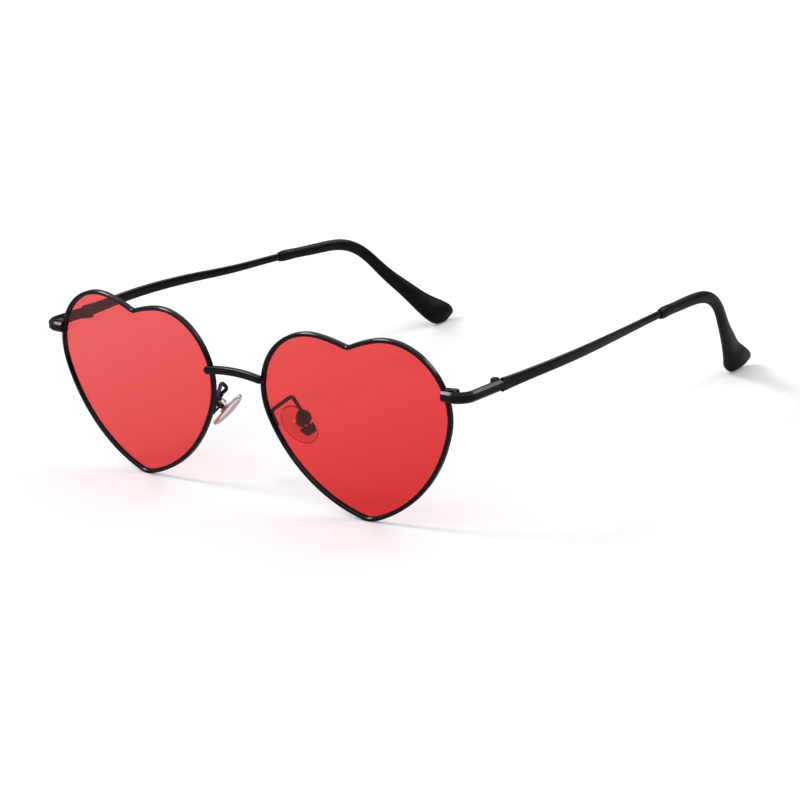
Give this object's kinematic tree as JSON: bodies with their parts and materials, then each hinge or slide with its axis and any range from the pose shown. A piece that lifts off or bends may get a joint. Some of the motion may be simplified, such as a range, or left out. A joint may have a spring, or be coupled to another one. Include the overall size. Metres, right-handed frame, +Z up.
{
  "type": "heart shaped sunglasses",
  "caption": "Slim metal sunglasses with flat red heart shaped lenses, an arched bridge bar, clear nose pads and folding temples with black ear tips.",
  "frame": {"origin": "middle of the footprint, on the surface that the rim points and temple tips stand on", "axes": "+X to the wearer's left, +Y from the lenses back along the temples, +Z up"},
  "size_m": [0.1428, 0.1534, 0.0483],
  "materials": {
    "frame": "satin black lacquer on thin metal",
    "lens": "clear red tint, polished",
    "tip": "satin black moulded sleeve",
    "pad": "clear soft pad",
    "pad_metal": "bright metal insert",
    "screw": "blackened slotted screw"
  },
  "bodies": {
    "front": {"left_rim": "frame", "left_lens": "lens", "left_endpiece": "frame", "left_rim_lock_upper": "frame", "left_rim_lock_lower": "frame", "left_rim_lock_screw": "screw", "left_hinge_front": "frame", "left_hinge_screw": "screw", "left_pad_box": "frame", "left_pad_screw": "screw", "left_pad_arm": "frame", "right_rim": "frame", "right_lens": "lens", "right_endpiece": "frame", "right_rim_lock_upper": "frame", "right_rim_lock_lower": "frame", "right_rim_lock_screw": "screw", "right_hinge_front": "frame", "right_hinge_screw": "screw", "right_pad_box": "frame", "right_pad_screw": "screw", "right_pad_arm": "frame", "bridge": "frame"},
    "left_temple": {"left_temple": "frame", "left_hinge_temple": "frame", "left_temple_tip": "tip"},
    "left_nose_pad": {"left_nose_pad": "pad", "left_pad_core": "pad_metal"},
    "right_temple": {"right_temple": "frame", "right_hinge_temple": "frame", "right_temple_tip": "tip"},
    "right_nose_pad": {"right_nose_pad": "pad", "right_pad_core": "pad_metal"}
  },
  "joints": [
    {"name": "left_temple_fold", "type": "hinge", "parent": "front", "child": "left_temple", "pos_m": [0.06807, -0.05754, 0.03573], "axis": [0, 0.0314, 0.9995], "range_deg": [0, 85]},
    {"name": "left_nose_pad_rock", "type": "hinge", "parent": "front", "child": "left_nose_pad", "pos_m": [0.01369, -0.06675, 0.02095], "axis": [0.1765, 0.9659, 0.1893], "range_deg": [-12, 12]},
    {"name": "right_temple_fold", "type": "hinge", "parent": "front", "child": "right_temple", "pos_m": [-0.06807, -0.05754, 0.03573], "axis": [0, -0.0314, -0.9995], "range_deg": [0, 78]},
    {"name": "right_nose_pad_rock", "type": "hinge", "parent": "front", "child": "right_nose_pad", "pos_m": [-0.01369, -0.06675, 0.02095], "axis": [-0.1765, 0.9659, 0.1893], "range_deg": [-12, 12]}
  ]
}
